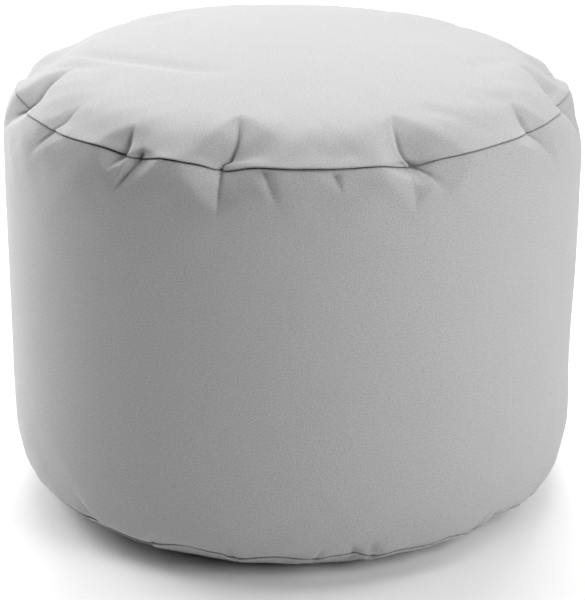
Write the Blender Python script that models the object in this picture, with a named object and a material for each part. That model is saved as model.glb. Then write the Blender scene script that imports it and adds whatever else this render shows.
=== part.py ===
"""A round bean bag footstool: a filled bag with a band of cloth as its side, and a round panel at each end.

Units are metres, +Z is up, and the floor is z = 0. An azimuth is in degrees, 0 at the front (-Y) and
growing towards +X. Every piece is a turned outline, a list of stations, with one ring of points at each.
The folds move a station the same way in every piece that it belongs to, so the cloth follows the bag.
"""

import math
from collections import namedtuple

import bmesh
import bpy

MM = 0.001

# The bag
WALL_RADIUS = 0.2515
TOP_SEAM_RADIUS = 0.239
TOP_SEAM_HEIGHT = 0.362
BASE_SEAM_RADIUS = 0.238
BASE_SEAM_HEIGHT = 0.024
FOOT_RADIUS = 0.193
UPPER_SHOULDER = 0.055
LOWER_SHOULDER = 0.058

# The crown is a shallow dome, cut off by a cone towards the seam. These are the dome's rise and its fall to
# the seam, the cone's rise at the seam and its slope, and how softly the two meet
CROWN_RISE = 0.0385
CROWN_FALL = 0.018
CROWN_EDGE_RISE = 0.0082
CROWN_EDGE_SLOPE = 0.65
CROWN_SOFTNESS = 0.005

# The right-hand back edge of the crown has sunk
SUNKEN_EDGE = 0.006
SUNKEN_AZIMUTH = 118
SUNKEN_HALF_WIDTH = 38

# The cloth, and the room that it keeps to the bag
CLOTH = 0.0015
CLOTH_GAP = 0.0008
UNDER_CLOTH = CLOTH + CLOTH_GAP

# At a seam the wall and a panel curl inwards side by side, the panel over a roll of this radius
SEAM_GAP = 0.0007
SEAM_ROLL = 0.004
SEAM_DEPTH = 0.0078
GROOVE_BESIDE_WALL = 0.0005
GROOVE_BESIDE_PANEL = 0.0026

# The base panel rises from the foot to its rolled edge as this power of the way out, with rings at these
# shares of the way
BASE_RISE_POWER = 1.4
BASE_RISE_SHARES = (0.5, 0.85)

# How finely each stretch of outline is cut
SEGMENTS = 88
UPPER_SHOULDER_STEPS = 5
LOWER_SHOULDER_STEPS = 4
WALL_STEPS = 2
TOP_ROLL_STEPS = 3
BASE_ROLL_STEPS = 2
SHARP_ANGLE = math.radians(50)

# Rings of a round panel, from the outside in: share of its radius, and points in the ring
DiscRing = namedtuple("DiscRing", "share points")
CROWN_RINGS = (
    DiscRing(0.965, SEGMENTS),
    DiscRing(0.900, SEGMENTS),
    DiscRing(0.800, SEGMENTS // 2),
    DiscRing(0.660, SEGMENTS // 2),
    DiscRing(0.480, SEGMENTS // 4),
    DiscRing(0.250, SEGMENTS // 8),
)
FLOOR_RINGS = (
    DiscRing(0.750, SEGMENTS // 2),
    DiscRing(0.450, SEGMENTS // 4),
    DiscRing(0.180, SEGMENTS // 8),
)

# A pucker pulls the seam down by its dip, and presses a crease across it. The crease runs along the panel
# and along the wall for its two reaches, and has leant by this many degrees at the end of each.
Pucker = namedtuple("Pucker", "azimuth dip depth half_width panel_reach panel_lean wall_reach wall_lean")
TOP_PUCKERS = (
    Pucker(-150, 1.5 * MM, 3.0 * MM, 3.6, 42 * MM, 4, 30 * MM, -3),
    Pucker(-127, 2.5 * MM, 4.0 * MM, 3.4, 58 * MM, -3, 34 * MM, 2),
    Pucker(-98, 1.0 * MM, 2.5 * MM, 3.6, 36 * MM, 3, 26 * MM, -4),
    Pucker(-69, 1.5 * MM, 4.0 * MM, 3.4, 50 * MM, -10, 34 * MM, -9),
    Pucker(-54, 0.5 * MM, 2.0 * MM, 3.4, 30 * MM, -2, 28 * MM, -5),
    Pucker(-33, 2.5 * MM, 3.5 * MM, 3.6, 32 * MM, -4, 30 * MM, -3),
    Pucker(-13, 4.5 * MM, 5.0 * MM, 3.4, 68 * MM, 0, 38 * MM, -1),
    Pucker(7, 0.5 * MM, 1.5 * MM, 3.4, 20 * MM, 2, 24 * MM, 4),
    Pucker(23, 4.5 * MM, 5.0 * MM, 3.4, 50 * MM, 3, 32 * MM, 3),
    Pucker(51, 1.0 * MM, 3.0 * MM, 3.6, 34 * MM, 6, 34 * MM, 7),
    Pucker(72, 3.5 * MM, 4.5 * MM, 3.4, 46 * MM, 12, 46 * MM, 11),
    Pucker(101, 1.5 * MM, 3.0 * MM, 3.6, 34 * MM, -3, 30 * MM, 4),
    Pucker(126, 3.5 * MM, 4.5 * MM, 3.4, 54 * MM, 4, 36 * MM, -2),
    Pucker(154, 1.0 * MM, 2.5 * MM, 3.4, 36 * MM, -4, 24 * MM, 3),
    Pucker(180, 3.0 * MM, 4.0 * MM, 3.6, 56 * MM, 3, 36 * MM, 2),
)
BASE_PUCKERS = (
    Pucker(-160, -2.0 * MM, 3.0 * MM, 3.6, 18 * MM, 2, 26 * MM, 3),
    Pucker(-128, -1.5 * MM, 2.5 * MM, 3.6, 18 * MM, -2, 24 * MM, -3),
    Pucker(-92, -2.5 * MM, 3.5 * MM, 3.6, 18 * MM, 2, 30 * MM, 2),
    Pucker(-68, -1.0 * MM, 2.5 * MM, 3.6, 18 * MM, 0, 24 * MM, -3),
    Pucker(-45, -2.0 * MM, 3.0 * MM, 3.6, 18 * MM, 2, 30 * MM, -4),
    Pucker(-30, 1.5 * MM, 2.0 * MM, 3.4, 16 * MM, -2, 18 * MM, 2),
    Pucker(-12, 2.5 * MM, 3.0 * MM, 3.4, 16 * MM, 0, 22 * MM, -1),
    Pucker(4, 1.0 * MM, 2.0 * MM, 3.4, 16 * MM, 2, 16 * MM, 2),
    Pucker(18, 3.0 * MM, 3.0 * MM, 3.4, 18 * MM, 2, 20 * MM, 3),
    Pucker(40, 1.5 * MM, 2.5 * MM, 3.4, 16 * MM, -2, 22 * MM, 4),
    Pucker(59, 1.5 * MM, 2.5 * MM, 3.6, 18 * MM, 2, 24 * MM, 3),
    Pucker(88, -2.0 * MM, 3.0 * MM, 3.6, 18 * MM, -2, 26 * MM, -4),
    Pucker(116, 1.5 * MM, 2.5 * MM, 3.6, 18 * MM, 2, 22 * MM, 3),
    Pucker(147, -2.0 * MM, 3.0 * MM, 3.6, 18 * MM, -2, 28 * MM, -2),
)
DIP_HALF_WIDTH = 5.5
DIP_REACH = 36 * MM
SEAM_HOLD = 15 * MM

# Beside each crease the cloth stands up as two low ridges, this many half-widths from its bottom
RIDGE_SHARE = 0.4
RIDGE_PLACE = 1.9

# Broad hollows in the wall, where the filling has settled
Hollow = namedtuple("Hollow", "azimuth height depth half_width half_height")
WALL_HOLLOWS = (
    Hollow(74, 0.120, 5.0 * MM, 30, 0.070),
    Hollow(-38, 0.200, 2.5 * MM, 26, 0.090),
    Hollow(150, 0.170, 4.0 * MM, 28, 0.080),
    Hollow(-135, 0.130, 3.5 * MM, 32, 0.080),
)

# A ring of an outline: its place, its outward direction, how many points it has, how far along the cloth
# each seam is, and the kind of surface it is on
Station = namedtuple("Station", "radius height out_r out_z points from_top from_base kind")
FAR = 1.0
WALL, PANEL, FLOOR = "wall", "panel", "floor"

# One pale grey cloth, in linear colour, is used for all three pieces
CLOTH_COLOUR = (0.42, 0.42, 0.424, 1.0)
CLOTH_ROUGHNESS = 0.78


def clear_scene():
    for obj in list(bpy.data.objects):
        bpy.data.objects.remove(obj, do_unlink=True)


def bell(distance, half_width):
    return math.exp(-((distance / half_width) ** 2))


def turn_between(azimuth, centre):
    """The signed angle from centre to azimuth, from -180 to 180 degrees."""
    return (azimuth - centre + 180) % 360 - 180


def arc_points(centre, half_axes, start, end, steps):
    """Points on an ellipse in the (radius, height) plane, both ends included."""
    angles = [math.radians(start + (end - start) * step / steps) for step in range(steps + 1)]
    return [
        (centre[0] + half_axes[0] * math.cos(angle), centre[1] + half_axes[1] * math.sin(angle))
        for angle in angles
    ]


def lengths_along(outline):
    """How far along an outline each of its points is."""
    lengths = [0.0]
    for before, after in zip(outline, outline[1:]):
        lengths.append(lengths[-1] + math.dist(before, after))
    return lengths


def outward_directions(outline):
    """The outward direction at each point of an outline that has its outside on its right."""
    last = len(outline) - 1
    for i in range(len(outline)):
        before = outline[max(i - 1, 0)]
        after = outline[min(i + 1, last)]
        length = math.dist(before, after)
        yield ((after[1] - before[1]) / length, (before[0] - after[0]) / length)


def crown_height(radius):
    """The height of the dome or of the cone, whichever is lower, softened where they meet."""
    dome = CROWN_RISE - CROWN_FALL * (radius / TOP_SEAM_RADIUS) ** 2
    cone = CROWN_EDGE_RISE + CROWN_EDGE_SLOPE * (TOP_SEAM_RADIUS - radius)
    return TOP_SEAM_HEIGHT + (dome + cone) / 2 - math.hypot((dome - cone) / 2, CROWN_SOFTNESS)


def top_panel_stations():
    """From the seam, over the rolled edge, to the middle of the crown."""
    roll_centre = (TOP_SEAM_RADIUS - SEAM_ROLL, TOP_SEAM_HEIGHT + SEAM_GAP / 2 + SEAM_ROLL)
    outline = arc_points(roll_centre, (SEAM_ROLL, SEAM_ROLL), -84, 40, TOP_ROLL_STEPS)
    points = [SEGMENTS] * len(outline)
    for ring in CROWN_RINGS:
        radius = TOP_SEAM_RADIUS * ring.share
        outline.append((radius, crown_height(radius)))
        points.append(ring.points)
    outline.append((0.0, crown_height(0.0)))
    points.append(1)
    rows = zip(outline, outward_directions(outline), points, lengths_along(outline))
    return [Station(*place, *out, count, length, FAR, PANEL) for place, out, count, length in rows]


def base_panel_stations():
    """From the middle of the floor out to the foot, then up and over the rolled edge to the seam."""
    roll_height = BASE_SEAM_HEIGHT - SEAM_GAP / 2 - SEAM_ROLL
    outline = [(0.0, 0.0)]
    points = [1]
    for ring in reversed(FLOOR_RINGS):
        outline.append((FOOT_RADIUS * ring.share, 0.0))
        points.append(ring.points)
    outline.append((FOOT_RADIUS, 0.0))
    on_floor = len(outline)
    roll_centre = (BASE_SEAM_RADIUS - SEAM_ROLL, roll_height)
    roll = arc_points(roll_centre, (SEAM_ROLL, SEAM_ROLL), -38, 84, BASE_ROLL_STEPS)
    rise_width = roll[0][0] - FOOT_RADIUS
    for share in BASE_RISE_SHARES:
        outline.append((FOOT_RADIUS + rise_width * share, roll[0][1] * share**BASE_RISE_POWER))
    outline += roll
    points += [SEGMENTS] * (len(outline) - len(points))
    kinds = [FLOOR] * on_floor + [PANEL] * (len(outline) - on_floor)
    outs = [(0.0, -1.0)] * on_floor + list(outward_directions(outline))[on_floor:]
    lengths = lengths_along(outline)
    rows = zip(outline, outs, points, lengths, kinds)
    return [
        Station(*place, *out, count, FAR, lengths[-1] - length, kind)
        for place, out, count, length, kind in rows
    ]


def wall_stations():
    """From the base seam up the side to the top seam."""
    low = (BASE_SEAM_RADIUS - SEAM_ROLL, BASE_SEAM_HEIGHT + SEAM_GAP / 2 + LOWER_SHOULDER)
    high = (TOP_SEAM_RADIUS - SEAM_ROLL, TOP_SEAM_HEIGHT - SEAM_GAP / 2 - UPPER_SHOULDER)
    outline = arc_points(low, (WALL_RADIUS - low[0], LOWER_SHOULDER), -90, 0, LOWER_SHOULDER_STEPS)
    for step in range(1, WALL_STEPS):
        outline.append((WALL_RADIUS, low[1] + (high[1] - low[1]) * step / WALL_STEPS))
    outline += arc_points(high, (WALL_RADIUS - high[0], UPPER_SHOULDER), 0, 90, UPPER_SHOULDER_STEPS)
    lengths = lengths_along(outline)
    rows = zip(outline, outward_directions(outline), lengths)
    return [
        Station(*place, *out, SEGMENTS, lengths[-1] - length, length, WALL)
        for place, out, length in rows
    ]


def groove_station(seam_radius, height, from_top, from_base):
    """A ring at the blind bottom of a seam's groove."""
    return Station(seam_radius - SEAM_DEPTH, height, 0.0, 0.0, SEGMENTS, from_top, from_base, WALL)


def base_groove_stations():
    heights = (BASE_SEAM_HEIGHT - GROOVE_BESIDE_PANEL, BASE_SEAM_HEIGHT + GROOVE_BESIDE_WALL)
    return [groove_station(BASE_SEAM_RADIUS, height, FAR, 0.0) for height in heights]


def top_groove_stations():
    heights = (TOP_SEAM_HEIGHT - GROOVE_BESIDE_WALL, TOP_SEAM_HEIGHT + GROOVE_BESIDE_PANEL)
    return [groove_station(TOP_SEAM_RADIUS, height, 0.0, FAR) for height in heights]


def pucker_move(azimuth, distance, kind, puckers):
    """How far the puckers of a seam move a point at this distance from it: outwards, and up."""
    outward = 0.0
    up = 0.0
    for pucker in puckers:
        reach = pucker.wall_reach if kind == WALL else pucker.panel_reach
        lean = pucker.wall_lean if kind == WALL else pucker.panel_lean
        turn = turn_between(azimuth, pucker.azimuth)
        if distance < DIP_REACH:
            up -= pucker.dip * bell(turn, DIP_HALF_WIDTH) * (1 - distance / DIP_REACH) ** 2
        if distance < reach:
            share = distance / reach
            across = (turn - lean * share) / pucker.half_width
            ridges = bell(across - RIDGE_PLACE, 1) + bell(across + RIDGE_PLACE, 1)
            crease = RIDGE_SHARE * ridges - bell(across, 1)
            outward += pucker.depth * crease * (1 - share) * (1 - share**2)
    return outward, up


def hollow_depth(azimuth, height):
    return sum(
        hollow.depth
        * bell(turn_between(azimuth, hollow.azimuth), hollow.half_width)
        * bell(height - hollow.height, hollow.half_height)
        for hollow in WALL_HOLLOWS
    )


def crown_drop(azimuth, station):
    """How far the crown has sunk at a station. It fades out down the wall's upper shoulder."""
    above_shoulder = 1 + (station.height - TOP_SEAM_HEIGHT) / UPPER_SHOULDER
    share = min(station.radius / TOP_SEAM_RADIUS, 1.0)
    turn = turn_between(azimuth, SUNKEN_AZIMUTH)
    sunken = SUNKEN_EDGE * share**2 * bell(turn, SUNKEN_HALF_WIDTH)
    return sunken * min(max(above_shoulder, 0.0), 1.0)


def point_at(azimuth, station, inset):
    """The point of a station at an azimuth, this far in from the cloth's outer face.

    The wall and both sides of a seam move straight in or out, and away from its seam a panel moves along
    its own outward direction. What lies on the floor stays flat.
    """
    out_top, up_top = pucker_move(azimuth, station.from_top, station.kind, TOP_PUCKERS)
    out_base, up_base = pucker_move(azimuth, station.from_base, station.kind, BASE_PUCKERS)
    outward = out_top + out_base
    up = up_top + up_base - crown_drop(azimuth, station)
    if station.kind == FLOOR:
        outward, up, held = 0.0, 0.0, 0.0
    elif station.kind == WALL:
        outward -= hollow_depth(azimuth, station.height)
        held = 1.0
    else:
        held = bell(min(station.from_top, station.from_base), SEAM_HOLD)
    along_out = outward * (1 - held) - inset
    radius = station.radius + outward * held + along_out * station.out_r
    height = station.height + along_out * station.out_z + up
    turn = math.radians(azimuth)
    return (radius * math.sin(turn), -radius * math.cos(turn), height)


def make_ring(bm, station, inset):
    azimuths = [360 * i / station.points for i in range(station.points)]
    return [bm.verts.new(point_at(azimuth, station, inset)) for azimuth in azimuths]


def stitch(bm, first, second):
    """Triangles between two rings that are equal, or where one has twice or all the points of the other.

    The diagonals depend only on the order of the rings, so two layers of cloth stitched in the same
    order fold along the same lines and keep their distance.
    """
    if len(first) < len(second):
        first, second = second, first
    count = len(first)
    for i in range(count):
        j = (i + 1) % count
        if len(second) == 1:
            bm.faces.new((first[i], first[j], second[0]))
        elif len(second) == count:
            bm.faces.new((first[i], first[j], second[i]))
            bm.faces.new((first[j], second[j], second[i]))
        elif i % 2 == 0:
            here = second[i // 2]
            there = second[(i // 2 + 1) % len(second)]
            bm.faces.new((first[i], first[j], here))
            bm.faces.new((first[j], there, here))
            bm.faces.new((first[j], first[(i + 2) % count], there))


def cloth_material(name):
    material = bpy.data.materials.new(name)
    material.use_nodes = True
    shader = material.node_tree.nodes["Principled BSDF"]
    shader.inputs["Base Color"].default_value = CLOTH_COLOUR
    shader.inputs["Roughness"].default_value = CLOTH_ROUGHNESS
    shader.inputs["Metallic"].default_value = 0.0
    return material


def make_piece(name, layers, origin_height, material, parent):
    """A closed body from (station, inset) layers, with its origin on the axis at the height given."""
    bm = bmesh.new()
    rings = [make_ring(bm, station, inset) for station, inset in layers]
    for first, second in zip(rings, rings[1:]):
        stitch(bm, first, second)
    bmesh.ops.translate(bm, verts=bm.verts, vec=(0, 0, -origin_height))
    bmesh.ops.recalc_face_normals(bm, faces=bm.faces)
    mesh = bpy.data.meshes.new(name)
    bm.to_mesh(mesh)
    bm.free()
    mesh.shade_smooth()
    mesh.set_sharp_from_angle(angle=SHARP_ANGLE)
    mesh.materials.append(material)
    piece = bpy.data.objects.new(name, mesh)
    piece.parent = parent
    piece.location = (0, 0, origin_height)
    bpy.context.scene.collection.objects.link(piece)


def build_side_wall(parent):
    """The filled bag: its side is the band of cloth, and its ends lie just under the two panels."""
    layers = [(station, UNDER_CLOTH) for station in base_panel_stations()]
    wall = base_groove_stations() + wall_stations() + top_groove_stations()
    layers += [(station, 0.0) for station in wall]
    layers += [(station, UNDER_CLOTH) for station in top_panel_stations()]
    make_piece("side_wall", layers, 0.0, cloth_material("side_cloth"), parent)


def build_top_panel(parent):
    """The domed round of cloth over the crown, its edge rolled in at the seam."""
    stations = top_panel_stations()
    layers = [(station, 0.0) for station in reversed(stations)]
    layers += [(station, CLOTH) for station in stations]
    make_piece("top_panel", layers, TOP_SEAM_HEIGHT, cloth_material("top_cloth"), parent)


def build_base_panel(parent):
    """The round of cloth that the stool stands on, its edge curling up to the lower seam."""
    stations = base_panel_stations()
    layers = [(station, CLOTH) for station in stations]
    layers += [(station, 0.0) for station in reversed(stations)]
    make_piece("base_panel", layers, 0.0, cloth_material("base_cloth"), parent)


def build_footstool():
    clear_scene()
    footstool = bpy.data.objects.new("footstool", None)
    bpy.context.scene.collection.objects.link(footstool)
    build_side_wall(footstool)
    build_top_panel(footstool)
    build_base_panel(footstool)


build_footstool()
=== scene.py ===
"""The looks of a round bean bag footstool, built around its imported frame.

Units are metres, +Z is up, and the floor is z = 0. An azimuth is in degrees, 0 at the front (-Y)
and growing towards +X. Each piece is a turned outline, cut into a list of rings. Puckers, folds,
hollows and ripples then move the points of the rings, and rings next to each other are stitched.
"""

import math
from collections import namedtuple

import bpy
import numpy as np
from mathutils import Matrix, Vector


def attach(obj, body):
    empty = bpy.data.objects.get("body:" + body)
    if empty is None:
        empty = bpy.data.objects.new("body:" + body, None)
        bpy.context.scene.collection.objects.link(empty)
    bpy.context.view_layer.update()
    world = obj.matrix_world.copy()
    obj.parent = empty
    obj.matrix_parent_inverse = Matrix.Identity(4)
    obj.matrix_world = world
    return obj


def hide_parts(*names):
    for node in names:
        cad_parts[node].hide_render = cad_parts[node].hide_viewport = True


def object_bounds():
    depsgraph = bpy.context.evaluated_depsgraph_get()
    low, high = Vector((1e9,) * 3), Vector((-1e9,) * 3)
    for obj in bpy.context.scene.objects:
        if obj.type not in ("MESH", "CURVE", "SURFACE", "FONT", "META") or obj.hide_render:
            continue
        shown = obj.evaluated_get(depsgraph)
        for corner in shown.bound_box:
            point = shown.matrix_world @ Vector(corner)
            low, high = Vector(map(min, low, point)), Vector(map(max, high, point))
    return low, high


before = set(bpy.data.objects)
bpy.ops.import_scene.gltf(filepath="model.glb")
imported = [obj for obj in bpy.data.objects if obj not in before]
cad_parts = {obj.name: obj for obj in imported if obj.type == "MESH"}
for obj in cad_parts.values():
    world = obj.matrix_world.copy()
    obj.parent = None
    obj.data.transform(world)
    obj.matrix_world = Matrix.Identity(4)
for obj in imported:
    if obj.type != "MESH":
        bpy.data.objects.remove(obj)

MM = 0.001

# The bag's measures, from the box that the frame gives: its two seams, its flat foot, how the base
# panel rises from there to its seam, and how far the wall's rounding goes up from that seam
CAD_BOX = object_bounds()
WALL_RADIUS = (CAD_BOX[1].x - CAD_BOX[0].x) / 2
CROWN_RISE = 38.3 * MM
TOP_SEAM_HEIGHT = CAD_BOX[1].z - CROWN_RISE
TOP_SEAM_RADIUS = WALL_RADIUS - 12.5 * MM
BASE_SEAM_RADIUS = WALL_RADIUS - 13.5 * MM
BASE_SEAM_HEIGHT = 24 * MM
FOOT_RADIUS = WALL_RADIUS - 58.5 * MM
BASE_RISE_POWER = 1.4
LOWER_SHOULDER = 62 * MM

# Under the top seam the wall comes out fast over a short reach, and slowly over a long one
SHORT_SHOULDER = 11 * MM
SHORT_REACH = 13 * MM
LONG_REACH = 70 * MM
LONG_SHOULDER_POWER = 3

# The crown is a shallow dome, cut off by a cone towards the seam. These are the dome's fall to the
# seam, the cone's slope, and how softly the two meet
CROWN_FALL = 19 * MM
CONE_SLOPE = 0.72
CROWN_SOFTNESS = 5 * MM

# The thickness of a panel's cloth, and how far the ends of the filled bag lie under the panels
CLOTH = 1.2 * MM
UNDER_PANEL = 5 * MM

# A seam: the gap between its two edges, the radius of their rolls, how deep its groove goes, and
# the angles of the rings round the rolls, in degrees
SEAM_GAP = 0.9 * MM
SEAM_ROLL = 1.0 * MM
SEAM_DEPTH = 7 * MM
CROWN_ROLL = (-90, -15)
CROWN_ROLL_RINGS = 5
BASE_ROLL_ANGLES = (25, 55, 90)

# How finely the pieces are cut. Steps grow from the finest one at a seam to the largest of a piece
SEGMENTS = 640
FINEST_STEP = 0.7 * MM
STEP_GROWTH = 1.13
WALL_STEP = 4.2 * MM
CROWN_STEP = 4.0 * MM
BASE_STEP = 2.5 * MM
FLOOR_RING_SHARES = (0.03, 0.1, 0.2, 0.35, 0.5, 0.65, 0.8, 0.9, 0.97)

# Where a panel's rings get smaller than one of these radii, their points halve once more
HALVING_RADII = (100 * MM, 48 * MM, 24 * MM, 12 * MM, 5 * MM)

# The two ends of the filled bag lie under the panels, and are made from these of their rings
HIDDEN_BASE_RINGS = slice(None, -5, 2)
HIDDEN_CROWN_RINGS = slice(10, None, 3)

# How many points the outlines have that the rings are read from, the power that crowds the crown's
# towards the seam, and how far to either side of a point its slope is taken
CROWN_POINTS = 1200
CROWN_CROWDING = 2.2
SHOULDER_POINTS = 300
RISE_POINTS = 200
SLOPE_REACH = 0.4 * MM

# Azimuths start from even steps. At a pucker they are denser by this much, over this half-width
EVEN_AZIMUTH_STEP = 0.25
PUCKER_CROWDING = 2.6
PUCKER_CROWDING_WIDTH = 2.6

# A ring's place and outward direction, how many points it has, its distances along the cloth from
# the two seams, and its kind. FAR is the distance from a seam that its cloth doesn't reach
Ring = namedtuple("Ring", "radius height out_r out_z points from_top from_base kind")
WALL, PANEL, FLOOR = 0, 1, 2
FAR = 1.0

# A pucker pulls a seam in by this depth, less and less to either side until before and after, its
# widths towards the smaller and the larger azimuth. It fades out along its path on the panel and
# its path on the wall, each a list of (azimuth, millimetres from the seam). Along its middle runs a
# narrow crease, with a raised lip before it, or after it where the lip is negative. On the panel
# the cloth before it lies lower by the step, or the cloth after it where the step is negative. A
# pucker with no path on the panel is a dent in the wall alone and leaves the seam where it is. All
# but the azimuths are in millimetres
Pucker = namedtuple("Pucker", "depth before after crease lip step panel wall")
TOP_PUCKERS = (
    Pucker(10, 32, 26, 3.0, -0.4, -1.6,
           ((-74, 0), (-74, 14), (-77, 32), (-80, 54)), ((-74, 0), (-77, 14), (-83, 34))),
    Pucker(2.6, 20, 18, 1.0, 0.3, 0.4,
           ((-55, 0), (-54, 12), (-55, 32)), ((-55, 0), (-57, 12), (-61, 28))),
    Pucker(9, 26, 8, 2.6, 0.0, -2.0,
           ((-34.9, 0), (-35.2, 10), (-36, 27)), ((-34.9, 0), (-36, 6), (-37, 14))),
    Pucker(8, 10, 22, 2.6, -0.2, 0,
           ((-31.2, 0), (-31, 5), (-30.8, 10)), ((-31.2, 0), (-32.2, 12), (-35, 30))),
    Pucker(13, 32, 52, 5.0, 0.0, 3.0, ((-14.4, 0), (-13.5, 8), (-12.4, 20), (-12, 38), (-13.3, 62)),
           ((-14.4, 0), (-14.0, 12), (-13.9, 22), (-13.5, 35))),
    Pucker(4.5, 12, 14, 1.0, 0.4, 0, None, ((-6, 0), (-4.5, 12), (-2.5, 30))),
    Pucker(4, 15, 9, 1.0, 0.2, 0, None, ((7.2, 0), (8, 8), (9, 18))),
    Pucker(10, 30, 48, 3.6, 1.2, -1.0, ((24.6, 0), (23.2, 8), (22.7, 24), (23.4, 42), (25, 54)),
           ((24.6, 0), (26.2, 8), (28, 18), (29.2, 27))),
    Pucker(6, 26, 24, 0.0, 0.0, 0,
           ((23, 0), (23, 3), (23, 6)), ((23, 0), (22.9, 12), (23, 24), (22.8, 36))),
    Pucker(7, 30, 22, 2.2, -0.3, 1.8,
           ((55.5, 0), (56, 10), (58, 32)), ((55.5, 0), (57, 10), (61, 34))),
    Pucker(11, 36, 28, 3.0, 0.4, -2.4,
           ((78, 0), (78.5, 8), (80, 22), (86, 50)), ((78, 0), (80, 14), (86, 46))),
    Pucker(4, 26, 30, 1.2, 0.6, 1,
           ((101, 0), (100, 14), (98, 34)), ((101, 0), (102, 12), (105, 30))),
    Pucker(8, 40, 34, 1.8, -0.8, -2,
           ((126, 0), (127, 12), (129, 30), (130, 56)), ((126, 0), (125, 14), (124, 38))),
    Pucker(4, 24, 26, 1.2, 0.6, 1,
           ((154, 0), (152, 14), (150, 36)), ((154, 0), (156, 10), (157, 26))),
    Pucker(7, 38, 42, 1.8, 0.8, 2,
           ((180, 0), (181, 14), (183, 56)), ((180, 0), (181, 14), (182, 38))),
    Pucker(5, 28, 26, 1.4, -0.6, -1.2,
           ((-150, 0), (-148, 14), (-146, 42)), ((-150, 0), (-151, 12), (-153, 32))),
    Pucker(8, 36, 40, 1.8, 0.9, 2.4,
           ((-127, 0), (-128, 14), (-130, 58)), ((-127, 0), (-126, 14), (-125, 36))),
    Pucker(4, 26, 24, 1.2, 0.5, -1,
           ((-98, 0), (-97, 12), (-95, 36)), ((-98, 0), (-100, 12), (-102, 28))),
)
BASE_PUCKERS = (
    Pucker(3, 18, 20, 0.8, 0.4, 0,
           ((-160, 0), (-159, 8), (-158, 16)), ((-160, 0), (-158, 12), (-157, 26))),
    Pucker(2.5, 16, 18, 0.8, 0.4, 0,
           ((-128, 0), (-129, 8), (-130, 16)), ((-128, 0), (-130, 12), (-131, 24))),
    Pucker(3.5, 20, 20, 1.0, 0.5, 0,
           ((-92, 0), (-91, 8), (-90, 16)), ((-92, 0), (-91, 14), (-90, 30))),
    Pucker(2.5, 16, 18, 0.8, 0.4, 0,
           ((-68, 0), (-68, 8), (-68, 16)), ((-68, 0), (-70, 12), (-71, 24))),
    Pucker(7, 20, 14, 2.4, 0.9, 0,
           ((-44, 0), (-43, 8), (-42, 16)), ((-44, 0), (-46, 12), (-48, 30))),
    Pucker(3.5, 14, 14, 1.2, 0.4, 0,
           ((-30, 0), (-31, 8), (-32, 14)), ((-30, 0), (-29, 8), (-28, 18))),
    Pucker(5, 12, 14, 1.8, 0.5, 0,
           ((-12, 0), (-12, 8), (-12, 14)), ((-12, 0), (-12.5, 10), (-13, 20))),
    Pucker(3.5, 10, 10, 1.4, 0.3, 0, ((4, 0), (5, 8), (6, 14)), ((4, 0), (5, 8), (6, 16))),
    Pucker(5.5, 10, 8, 2.2, -0.5, 0,
           ((12.8, 0), (12.6, 8), (12.2, 16)), ((12.8, 0), (12.2, 9), (11.2, 20))),
    Pucker(7.5, 8, 15, 2.6, 0.6, 0,
           ((16.6, 0), (17, 8), (18, 16)), ((16.6, 0), (16.2, 9), (15.4, 22))),
    Pucker(5, 12, 14, 1.6, 0.4, 0, ((39.5, 0), (38, 8), (37, 14)), ((39.5, 0), (41, 10), (43, 22))),
    Pucker(6, 14, 12, 2.0, 0.6, 0, ((47, 0), (47, 8), (47, 14)), ((47, 0), (46, 8), (45, 18))),
    Pucker(5, 14, 16, 1.6, 0.5, 0, ((59, 0), (60, 8), (61, 16)), ((59, 0), (60, 12), (62, 24))),
    Pucker(3.0, 18, 20, 0.8, 0.5, 0, ((88, 0), (87, 8), (86, 16)), ((88, 0), (86, 12), (84, 26))),
    Pucker(2.5, 16, 18, 0.8, 0.4, 0,
           ((116, 0), (117, 8), (118, 16)), ((116, 0), (117, 12), (119, 22))),
    Pucker(3.0, 18, 18, 0.8, 0.5, 0,
           ((147, 0), (146, 8), (145, 16)), ((147, 0), (146, 12), (145, 28))),
)

# A pucker's two facets narrow along its path, with outlines that bulge where the power is below 1.
# Their edges are this soft, as a share of their depth
PANEL_FACET_POWER = 0.65
WALL_FACET_POWER = 0.75
FACET_SOFTNESS = 0.03

# The crease ends at a share of the path. There its width is a share of CREASE_WIDTH, and at the
# seam that share and the narrowing together
CREASE_WIDTH = 1.5 * MM
CREASE_SHARE = 0.9
CREASE_END_WIDTH = 0.7
CREASE_NARROWING = 0.6
CREASE_FADE_POWER = 1.8
CREASE_EDGE_POWER = 1.6

# The step is this soft, dies out this far to the side, and swells and fades along the path. The
# limit keeps its exponent from an overflow
STEP_SOFTNESS = 0.7 * MM
STEP_REACH = 18 * MM
STEP_FADE_POWER = 0.7
EXPONENT_LIMIT = 40

# The middle of the lip, from the middle of the crease, and its half-width
LIP_PLACE = 4.2 * MM
LIP_WIDTH = 2.6 * MM

# A dent in the wall alone starts with this ramp. A pull on a seam goes in, and a share of it down
DENT_START = 6 * MM
PULL_SLANT = 0.39

# A pucker moves points within this angle of its start, and up to its path's length, times the
# overrun and with the margin, from the seam
PUCKER_SPAN = 40
PUCKER_OVERRUN = 1.5
PUCKER_MARGIN = 5 * MM

# How many points a smoothed path has, and how many of its segments it runs on for past its ends
PATH_POINTS = 16
PATH_OVERRUN = 9.0

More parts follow.
